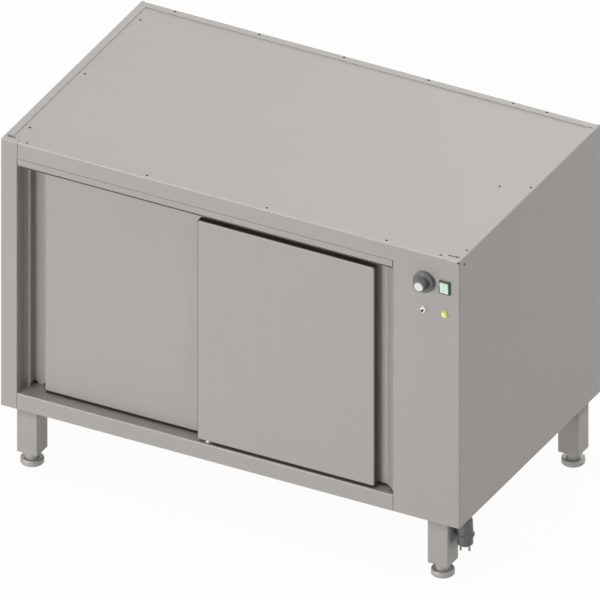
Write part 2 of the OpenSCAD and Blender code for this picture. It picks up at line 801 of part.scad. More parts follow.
module thermostat_knob() color(dark_plastic) placed() facing_front(knob_x, 0, knob_z) difference() {
    union() {
        translate([0, 0, knob_air]) rotate_extrude()
            polygon([[0, 0], [knob_d / 2, 0], [knob_d / 2, knob_skirt_h - knob_skirt_edge],
                [knob_d / 2 - knob_skirt_edge, knob_skirt_h], [knob_barrel_d / 2, knob_skirt_h],
                [knob_barrel_d / 2 - knob_taper, knob_proud - cap_proud - knob_air],
                [0, knob_proud - cap_proud - knob_air]]);
        translate([0, 0, -knob_shaft_l]) cylinder(h = knob_shaft_l + knob_skirt_h, d = knob_shaft_d);
    }
    translate([0, 0, knob_proud - cap_t]) cylinder(h = cap_t + over, d = cap_d);
}

module knob_cap() color(white_plastic) placed() facing_front(knob_x, 0, knob_z)
    translate([0, 0, knob_proud - cap_t]) cylinder(h = cap_t, d = cap_d);

module thermostat_body() color(black_plastic) placed() difference() {
    block([knob_x - thermostat_w / 2, sheet, knob_z - thermostat_w / 2],
        [knob_x + thermostat_w / 2, sheet + thermostat_t, knob_z + thermostat_w / 2]);
    facing_front(knob_x, sheet + thermostat_t + over, knob_z)
        cylinder(h = thermostat_t + 2 * over, d = knob_shaft_d + 2 * run_gap);
}

// Places of the rocker inside its bezel
rocker_w = switch_w - 2 * switch_rim - 2 * rocker_gap;
rocker_h = switch_h - 2 * switch_rim - 2 * rocker_gap;
rocker_face_y = rocker_pin_y - switch_proud - rocker_set;

module switch_housing() color(green_plastic) placed() difference() {
    w = switch_w / 2;
    h = switch_h / 2;
    inset = switch_rim + switch_wall;
    union() {
        block([switch_x - w, -switch_proud, switch_z - h], [switch_x + w, 0, switch_z + h]);
        block([switch_x - w + switch_rim, -switch_proud, switch_z - h + switch_rim],
            [switch_x + w - switch_rim, switch_body_t, switch_z + h - switch_rim]);
    }
    block([switch_x - w + switch_rim, -switch_proud - over, switch_z - h + switch_rim],
        [switch_x + w - switch_rim, -switch_floor, switch_z + h - switch_rim]);
    block([switch_x - w + inset, -switch_proud, switch_z - h + inset],
        [switch_x + w - inset, rocker_well, switch_z + h - inset]);
    facing_right(switch_x - w + switch_rim - rocker_pin_l, -rocker_pin_y, switch_z)
        cylinder(h = switch_w - 2 * switch_rim + 2 * rocker_pin_l, d = rocker_pin_d + 2 * run_gap);
}

// The rocker is drawn about its pivot, with one end pressed in
module switch_rocker() color(mint_plastic) placed() translate([switch_x, -rocker_pin_y, switch_z])
    rotate([rocker_tilt, 0, 0]) {
        block([-rocker_w / 2, rocker_face_y, -rocker_h / 2],
            [rocker_w / 2, rocker_face_y + rocker_t, rocker_h / 2]);
        block([-rocker_w / 2, rocker_face_y, -rocker_fin_h / 2],
            [rocker_w / 2, rocker_pin_d / 2, rocker_fin_h / 2]);
        facing_right(-rocker_w / 2 - rocker_gap - rocker_pin_l + fit_gap, 0, 0)
            cylinder(h = rocker_w + 2 * (rocker_gap + rocker_pin_l - fit_gap), d = rocker_pin_d);
    }

module reset_bush() color(white_plastic) placed() facing_front(button_x, 0, button_z) rotate_extrude()
    polygon([[button_d / 2 + run_gap, bush_proud], [button_d / 2 + run_gap, -bush_l],
        [bush_thread_d / 2, -bush_l], [bush_thread_d / 2, -sheet - bush_nut_h],
        [bush_nut_d / 2, -sheet - bush_nut_h], [bush_nut_d / 2, -sheet], [bush_thread_d / 2, -sheet],
        [bush_thread_d / 2, 0], [button_d / 2 + bush_wall, 0], [button_d / 2 + bush_wall, bush_proud]]);

module reset_button() color(black_plastic) placed() facing_front(button_x, 0, button_z)
    translate([0, 0, button_proud - button_l]) cylinder(h = button_l, d = button_d);

module indicator_lamp() color(yellow_plastic) placed() facing_front(lamp_x, 0, lamp_z) rotate_extrude()
    polygon(concat([[0, -lamp_body_l], [lamp_body_d / 2, -lamp_body_l], [lamp_body_d / 2, 0],
        [lamp_d / 2, 0]],
        [for (k = [0:2 * bend_steps]) let (angle = 90 * k / (2 * bend_steps))
            [lamp_d / 2 * cos(angle), lamp_rim_h + (lamp_proud - lamp_rim_h) * sin(angle)]]));

// Fan and heater, on an axis that points to the right

bracket_x = chamber_x1 + sheet + bracket_off;
impeller_x = bracket_x - impeller_gap;

module fan_bracket() color(steel) placed() difference() {
    union() {
        block([bracket_x, fan_y - bracket_w / 2, fan_z - bracket_w / 2],
            [bracket_x + bracket_t, fan_y + bracket_w / 2, fan_z + bracket_w / 2]);
        for (dy = [-1, 1], dz = [-1, 1])
            facing_right(chamber_x1 + sheet, fan_y + dy * (bracket_w / 2 - post_inset),
                fan_z + dz * (bracket_w / 2 - post_inset))
                cylinder(h = bracket_off, d = post_d);
    }
    facing_right(bracket_x - over, fan_y, fan_z) cylinder(h = bracket_t + 2 * over, d = bracket_hole_d);
    for (dy = [-1, 1])
        facing_right(bracket_x - over, fan_y + dy * element_end_y, fan_z - element_end_z)
            cylinder(h = bracket_t + 2 * over, d = element_sleeve_d + 2 * fit_gap);
}

module fan_motor() color(black_plastic) placed()
    facing_right(bracket_x + bracket_t, fan_y, fan_z) difference() {
        cylinder(h = motor_l, d = motor_d);
        translate([0, 0, -over]) cylinder(h = motor_shaft_l + 2 * over, d = motor_shaft_d + 2 * run_gap);
    }

module fan_impeller() color(pale_steel) placed() facing_right(impeller_x, fan_y, fan_z) {
    cylinder(h = impeller_plate_t, d = impeller_d);
    cylinder(h = impeller_hub_l, d = impeller_hub_d);
    cylinder(h = impeller_gap + bracket_t + motor_shaft_l, d = motor_shaft_d);
    for (k = [0:impeller_blades - 1])
        rotate([0, 0, 360 * k / impeller_blades])
            translate([impeller_d / 2 - impeller_blade_depth, 0, -impeller_blade_l])
                rotate([0, 0, blade_turn])
                    cube([impeller_blade_depth - impeller_blade_t, impeller_blade_t,
                        impeller_blade_l + impeller_plate_t]);
}

// Where the ends of the ring element turn back through the bracket
element_end_y = element_d / 2 * sin((360 - element_arc) / 2);
element_end_z = element_d / 2 * cos((360 - element_arc) / 2);
element_x = chamber_x1 + sheet + element_from_wall;

module heating_element() color(copper) placed() facing_right(element_x, fan_y, fan_z) {
    rotate([0, 0, (360 - element_arc) / 2])
        rotate_extrude(angle = element_arc) translate([element_d / 2, 0]) circle(d = element_tube_d);
    for (dy = [-1, 1])
        translate([element_end_z, dy * element_end_y, -element_sleeve_d / 2])
            cylinder(h = bracket_off - element_from_wall + motor_l / 2, d = element_sleeve_d);
}

module air_grille() color(pale_steel) placed() difference() {
    block([chamber_x1 - grille_t, fan_y - grille_w / 2, fan_z - grille_w / 2],
        [chamber_x1, fan_y + grille_w / 2, fan_z + grille_w / 2]);
    for (k = [0:grille_slots - 1]) {
        z = fan_z + (k - (grille_slots - 1) / 2) * grille_field_w / (grille_slots - 1);
        block([chamber_x1 - grille_t - over, fan_y - grille_field_w / 2, z - grille_slot_w / 2],
            [chamber_x1 + over, fan_y + grille_field_w / 2, z + grille_slot_w / 2]);
    }
}

module terminal_block() color(white_plastic) placed()
    translate([body_w - terminal_side, terminal_y, control_floor_z + sheet]) difference() {
        block([-terminal_w / 2, 0, 0], [terminal_w / 2, terminal_d, terminal_h]);
        for (k = [0:terminal_ways - 1])
            translate([(k - (terminal_ways - 1) / 2) * terminal_w / terminal_ways, -over, terminal_h / 2])
                rotate([-90, 0, 0]) cylinder(h = terminal_d + 2 * over, d = terminal_hole_d);
    }

module cable_gland() color(black_plastic) placed() translate([plug_x, plug_y, gland_z]) rotate_extrude()
    polygon([[0, 0], [gland_nose_d / 2, 0], [gland_root_d / 2, gland_taper_h],
        [gland_flange_d / 2, gland_taper_h], [gland_flange_d / 2, gland_taper_h + gland_flange_h],
        [gland_thread_d / 2, gland_taper_h + gland_flange_h],
        [gland_thread_d / 2, gland_taper_h + gland_flange_h + sheet],
        [gland_flange_d / 2, gland_taper_h + gland_flange_h + sheet],
        [gland_flange_d / 2, gland_taper_h + gland_flange_h + sheet + gland_nut_h],
        [gland_thread_d / 2, gland_taper_h + gland_flange_h + sheet + gland_nut_h],
        [gland_thread_d / 2, gland_taper_h + gland_flange_h + gland_thread_h],
        [0, gland_taper_h + gland_flange_h + gland_thread_h]]);

module power_cord() color(dark_plastic) placed()
    translate([plug_x, plug_y, plug_top_z]) cylinder(h = cord_len, d = cord_d);

module plug_body() color(dark_plastic) placed() translate([plug_x, plug_y, collar_z]) difference() {
    rotate_extrude()
        polygon([[0, -plug_lower_h], [plug_lower_d / 2 - plug_chamfer, -plug_lower_h],
            [plug_lower_d / 2, plug_chamfer - plug_lower_h], [plug_lower_d / 2, 0],
            [plug_collar_d / 2 - collar_chamfer, 0], [plug_collar_d / 2, collar_chamfer],
            [plug_collar_d / 2, plug_collar_h - collar_chamfer], [plug_upper_d / 2, plug_collar_h],
            [plug_waist_d / 2, plug_collar_h + plug_upper_h],
            [plug_tip_d / 2, plug_collar_h + plug_upper_h + plug_taper_h],
            [0, plug_collar_h + plug_upper_h + plug_taper_h]]);
    plug_pin_pair();
}

module plug_pin_pair() {
    rotate([0, 0, pin_turn])
        for (side = [-1, 1])
            translate([side * pin_pitch / 2, 0, -plug_lower_h - pin_l])
                cylinder(h = pin_l + pin_sunk, d = pin_d);
}

module plug_pins() color(brass) placed() translate([plug_x, plug_y, collar_z]) plug_pin_pair();

module shelf() color(pale_steel) placed() across(shelf_x0, shelf_x1)
    folded([[shelf_y0, shelf_z - shelf_edge], [shelf_y0, shelf_z], [shelf_y1, shelf_z],
        [shelf_y1, shelf_z - shelf_edge]], -1);

module shelf_supports() color(steel) placed() {
    top = shelf_z - sheet - slide_gap;
    for (y = [shelf_y0 + bracket_inset, shelf_y1 - bracket_inset - bracket_run])
        backed(y, y + bracket_run) {
            folded([[chamber_x0, top - bracket_drop], [chamber_x0, top],
                [chamber_x0 + bracket_leg, top]], -1);
            folded([[chamber_x1, top - bracket_drop], [chamber_x1, top],
                [chamber_x1 - bracket_leg, top]]);
        }
}

left_roller_xs = hanger_places(left_door_x);
right_roller_xs = hanger_places(right_door_x);

left_side_panel();
control_side_panel();
back_panel();
top_panel();
base_pan();
front_header();
bottom_rail();
left_jamb();
right_jamb();
door_track();
floor_guide();
inner_left_wall();
inner_back_wall();
inner_ceiling();
inner_floor();
partition_wall();
insulation();
door_skin(left_door_x, left_door_y);  // left_door_skin
door_back(left_door_x, left_door_y);  // left_door_back
door_core(left_door_x, left_door_y);  // left_door_core
door_channel(left_door_x, left_door_y);  // left_door_channel
door_hangers(left_door_x, left_door_y);  // left_door_hangers
door_roller(left_roller_xs[0], left_door_y);  // left_door_roller_a
door_roller(left_roller_xs[1], left_door_y);  // left_door_roller_b
door_skin(right_door_x, right_door_y);  // right_door_skin
door_back(right_door_x, right_door_y);  // right_door_back
door_core(right_door_x, right_door_y);  // right_door_core
door_channel(right_door_x, right_door_y);  // right_door_channel
door_hangers(right_door_x, right_door_y);  // right_door_hangers
door_roller(right_roller_xs[0], right_door_y);  // right_door_roller_a
door_roller(right_roller_xs[1], right_door_y);  // right_door_roller_b
leg(0);  // front_left_leg
leg(1);  // front_right_leg
leg(2);  // rear_left_leg
leg(3);  // rear_right_leg
leg_inserts();
foot(0);  // front_left_foot
foot(1);  // front_right_foot
foot(2);  // rear_left_foot
foot(3);  // rear_right_foot
thermostat_knob();
knob_cap();
thermostat_body();
switch_housing();
switch_rocker();
reset_bush();
reset_button();
indicator_lamp();
heating_element();
fan_bracket();
fan_motor();
fan_impeller();
air_grille();
terminal_block();
cable_gland();
power_cord();
plug_body();
plug_pins();
shelf();
shelf_supports();
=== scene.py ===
# %% [markdown]
# # A heated plate cupboard in brushed steel
# The cupboard arrives as sheet-metal solids that already have their true size and place.
# Blender adds what a solid lacks: the camera, the light, the grain of the steel, the sheen of
# the plastic and the small pieces such as screws, ribs and dark strips of painted shade.
# One could model the cupboard again here, but then two shapes would have to agree, so the solids
# stay as they are and only get finishes.

# %% Load the solids
import math

import bmesh
import bpy
from mathutils import Matrix, Vector


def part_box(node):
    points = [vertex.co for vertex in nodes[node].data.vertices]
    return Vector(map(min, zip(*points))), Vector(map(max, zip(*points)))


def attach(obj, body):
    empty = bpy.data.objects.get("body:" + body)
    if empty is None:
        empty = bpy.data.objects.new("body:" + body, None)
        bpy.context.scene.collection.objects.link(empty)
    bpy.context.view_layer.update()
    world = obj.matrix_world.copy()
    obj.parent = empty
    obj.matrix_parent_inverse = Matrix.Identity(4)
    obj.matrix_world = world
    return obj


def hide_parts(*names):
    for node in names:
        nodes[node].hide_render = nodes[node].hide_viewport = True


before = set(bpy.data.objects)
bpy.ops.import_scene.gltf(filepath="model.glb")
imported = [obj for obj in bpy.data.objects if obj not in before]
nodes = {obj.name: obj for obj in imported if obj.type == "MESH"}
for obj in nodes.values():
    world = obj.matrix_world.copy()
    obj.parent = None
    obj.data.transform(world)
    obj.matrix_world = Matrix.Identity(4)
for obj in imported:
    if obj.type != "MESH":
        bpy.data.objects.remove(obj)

SHEET, FREE = 0.0015, 0.0003    # thickness of the casing sheet, and the room left between pieces
scene = bpy.context.scene
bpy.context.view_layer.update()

# %% [markdown]
# ## Camera
# The picture shows parallel edges that stay parallel, so it was taken without perspective.
# An orthographic camera does the same. Its place could be found by eye, but it is steadier to
# name the two angles, the size of a pixel, and one corner of the cupboard with its pixel.

# %% Place the camera
AZIMUTH, ELEVATION = math.radians(27.79), math.radians(30.97)
PIXEL = 0.00215
IMAGE_W, IMAGE_H = 600, 598
CORNER, CORNER_PIXEL = Vector((-0.5575, -0.311, 0.145)), (0.58, 404.57)
CAMERA_AWAY, FARTHEST = 6, 40

to_right = Vector((math.cos(AZIMUTH), math.sin(AZIMUTH), 0))
to_camera = Vector((math.sin(AZIMUTH) * math.cos(ELEVATION),
                    -math.cos(AZIMUTH) * math.cos(ELEVATION), math.sin(ELEVATION)))
to_top = to_camera.cross(to_right)
middle = (CORNER + to_right * (IMAGE_W / 2 - CORNER_PIXEL[0]) * PIXEL
          + to_top * (CORNER_PIXEL[1] - IMAGE_H / 2) * PIXEL)

camera = bpy.data.objects.new("camera", bpy.data.cameras.new("camera"))
camera.data.type = "ORTHO"
camera.data.ortho_scale = IMAGE_W * PIXEL
camera.data.clip_end = FARTHEST
turn = Matrix((to_right, to_top, to_camera)).transposed().to_4x4()
camera.matrix_world = Matrix.Translation(middle + to_camera * CAMERA_AWAY) @ turn
scene.collection.objects.link(camera)
scene.camera = camera
print("camera looks at", [round(v, 4) for v in middle])

# %% [markdown]
# ## Finishes: helpers
# Every finish is a node tree that reads Object coordinates. These are in metres here, so a
# grain of half a millimetre is a scale of about two thousand. Images could give the same look,
# but noise has no seams and fits any size of sheet.

# %% Helpers for node trees
NOISE_ROUGHNESS = 0.55


def srgb(r, g, b):
    """A colour as a painter reads it off a screen, turned into the light values that nodes use."""
    light = [c / 12.92 if c <= 0.04045 else ((c + 0.055) / 1.055) ** 2.4 for c in (r, g, b)]
    return (*light, 1.0)


def scaled(colour, k):
    """The same colour, k times as light."""
    return tuple(min(c * k, 1.0) for c in colour[:3]) + (1.0,)


def start_finish(name, metallic=0.0, **sockets):
    """A new material with its Principled shader set."""
    material = bpy.data.materials.new(name)
    material.use_nodes = True
    tree = material.node_tree
    shader = tree.nodes["Principled BSDF"]
    shader.inputs["Metallic"].default_value = metallic
    for socket, value in sockets.items():
        shader.inputs[socket.replace("_", " ")].default_value = value
    return material, tree, shader


def add(tree, kind, **settings):
    """A new node, with each setting on its socket or, where it has none, on the node itself."""
    node = tree.nodes.new(kind)
    for key, value in settings.items():
        if key in node.inputs:
            node.inputs[key].default_value = value
        else:
            setattr(node, key, value)
    return node


def stretched_noise(tree, stretch, detail=2.0):
    """Noise on Object coordinates, with a scale of its own along each axis."""
    place = tree.nodes.new("ShaderNodeTexCoord")
    mapping = add(tree, "ShaderNodeMapping", Scale=stretch)
    noise = add(tree, "ShaderNodeTexNoise", Scale=1.0, Detail=detail, Roughness=NOISE_ROUGHNESS)
    tree.links.new(place.outputs["Object"], mapping.inputs["Vector"])
    tree.links.new(mapping.outputs["Vector"], noise.inputs["Vector"])
    return noise.outputs["Fac"]


def ranged(tree, value, low, high, from_low=0.3, from_high=0.7):
    """A value taken from one range to another; noise mostly stays between 0.3 and 0.7."""
    limits = {"From Min": from_low, "From Max": from_high, "To Min": low, "To Max": high}
    node = add(tree, "ShaderNodeMapRange", **limits)
    tree.links.new(value, node.inputs["Value"])
    return node.outputs["Result"]


def blended(tree, factor, first, second):
    """A mix of two colours, each a plain one or another node's output."""
    node = add(tree, "ShaderNodeMix", data_type="RGBA")
    tree.links.new(factor, node.inputs["Factor"])
    for socket, colour in (("A", first), ("B", second)):
        target = [s for s in node.inputs if s.name == socket and s.type == "RGBA"][0]
        if isinstance(colour, tuple):
            target.default_value = colour
        else:
            tree.links.new(colour, target)
    return [s for s in node.outputs if s.type == "RGBA"][0]


def bumped(tree, shader, value, strength, distance):
    """Lets a value raise and lower the surface."""
    bump = add(tree, "ShaderNodeBump", Strength=strength, Distance=distance)
    tree.links.new(value, bump.inputs["Height"])
    tree.links.new(bump.outputs["Normal"], shader.inputs["Normal"])


print("finish helpers ready")

# %% [markdown]
# ## Brushed steel
# A belt leaves fine straight scratches in stainless sheet. Noise that is stretched three hundred
# times along one axis gives such scratches. They change the roughness and, very little, the tone,
# and a broad soft noise adds the slight clouds that handling leaves. The grain runs along the
# length of each sheet, so one finish has it lying and another has it upright. The legs are welded
# to the base, and their top ends, under the base, are painted darker: painted shade.

# %% Brushed steel
STEEL, LINER = srgb(0.685, 0.6685, 0.6545), srgb(0.70, 0.69, 0.67)
GRAIN = {"x": (3.0, 900.0, 900.0), "z": (900.0, 900.0, 3.0)}
SCRATCH_DETAIL, SCRATCH_BUMP, SCRATCH_DEPTH = 3.0, 0.06, 0.0004
STREAK_DARK, STREAK_LIGHT = 0.965, 1.03
CLOUD_SCALE, CLOUD_SHARE, CLOUD_DARK = 2.6, 0.5, 0.955
LINER_GLOSS = (0.26, 0.36)


def brushed_steel(name, colour, grain, rough=(0.42, 0.54), metallic=0.2):
    """Steel sheet with scratches along x or z."""
    material, tree, shader = start_finish(name, metallic)
    scratches = stretched_noise(tree, GRAIN[grain], detail=SCRATCH_DETAIL)
    clouds = stretched_noise(tree, (CLOUD_SCALE,) * 3)
    streaked = blended(tree, ranged(tree, scratches, 0.0, 1.0),
                       scaled(colour, STREAK_DARK), scaled(colour, STREAK_LIGHT))
    cloudy = blended(tree, ranged(tree, clouds, 0.0, CLOUD_SHARE), streaked, scaled(colour, CLOUD_DARK))
    tree.links.new(cloudy, shader.inputs["Base Color"])
    tree.links.new(ranged(tree, scratches, *rough), shader.inputs["Roughness"])
    bumped(tree, shader, scratches, SCRATCH_BUMP, SCRATCH_DEPTH)
    return material


steel_x = brushed_steel("brushed_steel_along_x", STEEL, "x")
steel_z = brushed_steel("brushed_steel_along_z", STEEL, "z")
liner_x = brushed_steel("liner_steel_along_x", LINER, "x", LINER_GLOSS)
liner_z = brushed_steel("liner_steel_along_z", LINER, "z", LINER_GLOSS)
turned_steel = brushed_steel("turned_foot_steel", srgb(0.72, 0.71, 0.69), "z", (0.36, 0.5), 0.3)
heater_steel = brushed_steel("heat_tinted_steel", srgb(0.46, 0.39, 0.34), "x", (0.45, 0.65), 0.8)
pin_plating = brushed_steel("nickel_plated_brass", srgb(0.56, 0.55, 0.53), "z", (0.2, 0.32), 0.9)
print("steel finishes:", len([m for m in bpy.data.materials if "steel" in m.name]))

# %% Steel painted darker under the base
LEG_TOP, SHADE_REACH = 0.145, 0.026
SHADE_SHARE, SHADE_DARK = 0.62, 0.42


def painted_shade_towards(name, line, reach):
    """Brushed steel that darkens towards a line: painted shade, as under the base at the tops of the legs.
    """
    material = brushed_steel(name, STEEL, "z")
    tree = material.node_tree
    colour = tree.nodes["Principled BSDF"].inputs["Base Color"]
    plain = colour.links[0].from_socket
    place, height = tree.nodes.new("ShaderNodeTexCoord"), tree.nodes.new("ShaderNodeSeparateXYZ")
    tree.links.new(place.outputs["Object"], height.inputs["Vector"])
    # Painted shade: darker towards the line, where the base above shades the legs.
    near = ranged(tree, height.outputs["Z"], 0.0, SHADE_SHARE, line - reach, line)
    tree.links.new(blended(tree, near, plain, scaled(STEEL, SHADE_DARK)), colour)
    return material


# Painted shade at the tops of the legs, under the base.
leg_steel = painted_shade_towards("leg_steel_with_painted_shade", LEG_TOP, SHADE_REACH)
print("painted leg shade:", leg_steel.name)

# %% [markdown]
# ## Plastic, rubber and wool
# Moulded plastic has a fine spark-eroded texture, rubber a coarser and duller one, and mineral wool
# is all tangled fibres. One helper makes all three, because they differ only in the size of the
# noise, its depth and the gloss. The rocker and the lens are lit from inside. The collar of the
# reset button is no lamp, but a weak glow lightens it: painted light.

# %% Moulded finishes
SPOT_SCALE, GRAIN_DEPTH = 45.0, 0.0003
GLOSSIER, DULLER = 0.05, 0.08
WHITE = srgb(0.975, 0.975, 0.955)


def moulded(name, colour, rough, grain=1800.0, depth=0.15, tint=0.06, **sockets):
    """Plastic, rubber, paint or wool: a fine grain and slight spots of tone."""
    material, tree, shader = start_finish(name, **sockets)
    grains = stretched_noise(tree, (grain,) * 3)
    spots = stretched_noise(tree, (SPOT_SCALE,) * 3)
    tone = blended(tree, ranged(tree, spots, 0.0, 1.0),
                   scaled(colour, 1 - tint), scaled(colour, 1 + tint))
    tree.links.new(tone, shader.inputs["Base Color"])
    tree.links.new(ranged(tree, grains, rough - GLOSSIER, rough + DULLER), shader.inputs["Roughness"])
    bumped(tree, shader, grains, depth, GRAIN_DEPTH)
    return material


knob_plastic = moulded("knob_grey_plastic", srgb(0.475, 0.475, 0.47), 0.38)
# Also the finish of the dark strips of painted shade at the track and the right door.
edge_and_shade_plastic = moulded("door_edge_and_painted_shade_plastic", srgb(0.31, 0.295, 0.275), 0.6, grain=900.0)
black_plastic = moulded("black_plastic", srgb(0.10, 0.10, 0.105), 0.40)
white_plastic = moulded("white_plastic", WHITE, 0.32, depth=0.06, tint=0.015)
# Painted light: the collar of the reset button glows a little, though it is no lamp.
painted_glow_plastic = moulded("white_plastic_with_painted_glow", WHITE, 0.32, depth=0.06, tint=0.015,
                        Emission_Color=srgb(0.97, 0.97, 0.95), Emission_Strength=0.3)
green_plastic = moulded("bezel_green_plastic", srgb(0.28, 0.37, 0.31), 0.38)
mint_plastic = moulded("rocker_mint_plastic", srgb(0.83, 0.93, 0.855), 0.24, depth=0.04, tint=0.02,
                       Emission_Color=srgb(0.80, 0.93, 0.84), Emission_Strength=0.17)
yellow_plastic = moulded("lens_yellow_plastic", srgb(0.92, 0.93, 0.58), 0.16, depth=0.03, tint=0.03,
                         Emission_Color=srgb(0.93, 0.90, 0.32), Emission_Strength=0.2)
nylon = moulded("white_nylon", srgb(0.92, 0.92, 0.89), 0.45, depth=0.08, tint=0.02)
pointer_paint = moulded("pointer_line_paint", srgb(0.66, 0.66, 0.65), 0.45, depth=0.05)
mark_paint = moulded("switch_mark_paint", srgb(0.45, 0.66, 0.53), 0.35, depth=0.03)
black_paint = moulded("matt_black_paint", srgb(0.07, 0.07, 0.07), 0.7, tint=0.03,
                      Specular_IOR_Level=0.15)
plug_rubber = moulded("plug_grey_rubber", srgb(0.42, 0.42, 0.42), 0.30, grain=1300.0)
lead_rubber = moulded("lead_black_rubber", srgb(0.15, 0.15, 0.155), 0.52, grain=1500.0)
# Only for the dark strips of painted shade under the doors.
shade_rubber = moulded("painted_shade_black_rubber", srgb(0.13, 0.13, 0.13), 0.7, grain=1500.0,
                      Specular_IOR_Level=0.3)
seal_foam = moulded("seal_foam", srgb(0.17, 0.17, 0.165), 0.85, grain=650.0, depth=0.7, tint=0.12)
wool = moulded("mineral_wool", srgb(0.80, 0.74, 0.52), 0.92, grain=420.0, depth=0.9, tint=0.25)
print("finishes in the file:", len(bpy.data.materials))

# %% [markdown]
# ## Mains lead
# The lead leaves a gland in the floor of the control compartment and drops straight into the plug
# that hangs under the right side. It is short and pulled straight by the plug, so it needs no
# simulation: a curve with a round bevel is enough, with its points on one vertical line.

# %% Make the lead
LEAD_X, LEAD_Y = 0.546, -0.263
LEAD_TOP, LEAD_END, LEAD_D = 0.201, 0.146, 0.008
LEAD_STEPS, LEAD_ROUNDNESS = 20, 5
lead_curve = bpy.data.curves.new("mains_lead", "CURVE")
lead_curve.dimensions = "3D"
lead_curve.bevel_depth = LEAD_D / 2
lead_curve.bevel_resolution = LEAD_ROUNDNESS
lead_curve.use_fill_caps = True
spline = lead_curve.splines.new("POLY")
spline.points.add(LEAD_STEPS)
for i, point in enumerate(spline.points):
    point.co = (LEAD_X, LEAD_Y, LEAD_TOP + (LEAD_END - LEAD_TOP) * i / LEAD_STEPS, 1)
lead_curve.materials.append(lead_rubber)
lead = bpy.data.objects.new("mains_lead", lead_curve)
scene.collection.objects.link(lead)
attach(lead, "cabinet")
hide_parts("power_cord")
print("lead:", round(LEAD_TOP - LEAD_END, 3), "m")

# %% [markdown]
# ## A finish for each solid
# Each solid gets the finish of its real piece. It could be set inside the solids' own files, but a
# table in one place is easier to read. The grain runs along the longest side of each sheet: across
# the header, the rail and the top, and upwards on the sides, the doors and the legs.

# %% Give each solid its finish
FINISHES = {
    steel_x: ["top_panel", "front_header", "bottom_rail", "door_track", "base_pan", "back_panel"],
    steel_z: ["left_side_panel", "control_side_panel", "left_jamb", "right_jamb", "left_door_skin",
              "right_door_skin"],
    leg_steel: ["front_left_leg", "front_right_leg", "rear_left_leg", "rear_right_leg"],
    liner_x: ["inner_back_wall", "inner_ceiling", "inner_floor", "shelf", "shelf_supports"],
    liner_z: ["inner_left_wall", "partition_wall", "left_door_back", "right_door_back", "air_grille",
              "fan_impeller"],
    black_paint: ["left_door_hangers", "right_door_hangers", "fan_bracket"],
    turned_steel: ["front_left_foot", "front_right_foot", "rear_left_foot", "rear_right_foot"],
    heater_steel: ["heating_element"],
    pin_plating: ["plug_pins"],
    nylon: ["left_door_channel", "right_door_channel", "left_door_roller_a", "left_door_roller_b",
            "right_door_roller_a", "right_door_roller_b"],
    wool: ["insulation"],
    edge_and_shade_plastic: ["left_door_core", "right_door_core"],
    knob_plastic: ["thermostat_knob"],
    white_plastic: ["knob_cap", "terminal_block", "floor_guide"],
    painted_glow_plastic: ["reset_bush"],
    black_plastic: ["reset_button", "thermostat_body", "fan_motor", "cable_gland", "leg_inserts"],
    green_plastic: ["switch_housing"],
    mint_plastic: ["switch_rocker"],
    yellow_plastic: ["indicator_lamp"],
    plug_rubber: ["plug_body"],
    lead_rubber: ["power_cord"],
}
for finish, names in FINISHES.items():
    for name in names:
        for material_slot in nodes[name].material_slots:
            material_slot.material = finish
left_over = sorted(set(nodes) - {n for names in FINISHES.values() for n in names})
print("finished solids:", len(nodes) - len(left_over), "left over:", left_over)

# %% [markdown]
# ## Screws and rivets
# Rivets hold the back panel, and screws hold the shelf brackets and the air grille. All have low
# round heads. They could be placed one by one, but a head that repeats is work for Geometry Nodes:
# the script gives the places as loose points, and the tree puts one flattened ball on each point.

# %% Helpers for geometry trees
def new_tree(name, inputs):
    """A geometry tree with named inputs: returns the tree, its ends, and each input's identifier."""
    tree = bpy.data.node_groups.new(name, "GeometryNodeTree")
    tree.interface.new_socket(name="Geometry", in_out="OUTPUT", socket_type="NodeSocketGeometry")
    ids = {}
    for label, kind in inputs.items():
        socket = tree.interface.new_socket(name=label, in_out="INPUT", socket_type="NodeSocket" + kind)
        ids[label] = socket.identifier
    return tree, tree.nodes.new("NodeGroupInput"), tree.nodes.new("NodeGroupOutput"), ids


def wire(tree, links):
    """Joins each output to its input."""
    for out, into in links:
        tree.links.new(out, into)


def close_tree(tree, geometry, start, end):
    """Realize the instances, shade them smooth, give them the finish and hand them on."""
    last = geometry
    for kind in ("RealizeInstances", "SetShadeSmooth", "SetMaterial"):
        node = tree.nodes.new("GeometryNode" + kind)
        tree.links.new(last, node.inputs["Geometry"])
        if kind == "SetMaterial":
            tree.links.new(start.outputs["Finish"], node.inputs["Material"])
        last = node.outputs["Geometry"]
    tree.links.new(last, end.inputs["Geometry"])


print("geometry helpers ready")


# %% Helpers that turn a mesh or a tree's result into a plain piece
def show(name, mesh, body):
    """A mesh as an object that moves with a body."""
    piece = bpy.data.objects.new(name, mesh)
    scene.collection.objects.link(piece)
    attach(piece, body)
    return piece


def grow(name, points, tree, ids, values, body):
    """Runs a tree on loose points and keeps the result as a plain mesh that moves with a body."""
    seed = bpy.data.meshes.new(name + "_points")
    seed.from_pydata(points, [], [])
    holder = bpy.data.objects.new(name + "_points", seed)
    scene.collection.objects.link(holder)
    modifier = holder.modifiers.new("grow", "NODES")
    modifier.node_group = tree
    for label, value in values.items():
        modifier[ids[label]] = value
    bpy.context.view_layer.update()
    grown = holder.evaluated_get(bpy.context.evaluated_depsgraph_get())
    mesh = bpy.data.meshes.new_from_object(grown)
    holder.modifiers.remove(modifier)
    bpy.data.objects.remove(holder)
    mesh.name = name
    show(name, mesh, body)
    print(name + ":", len(points), "points,", len(mesh.polygons), "faces")


print("piece helpers ready")

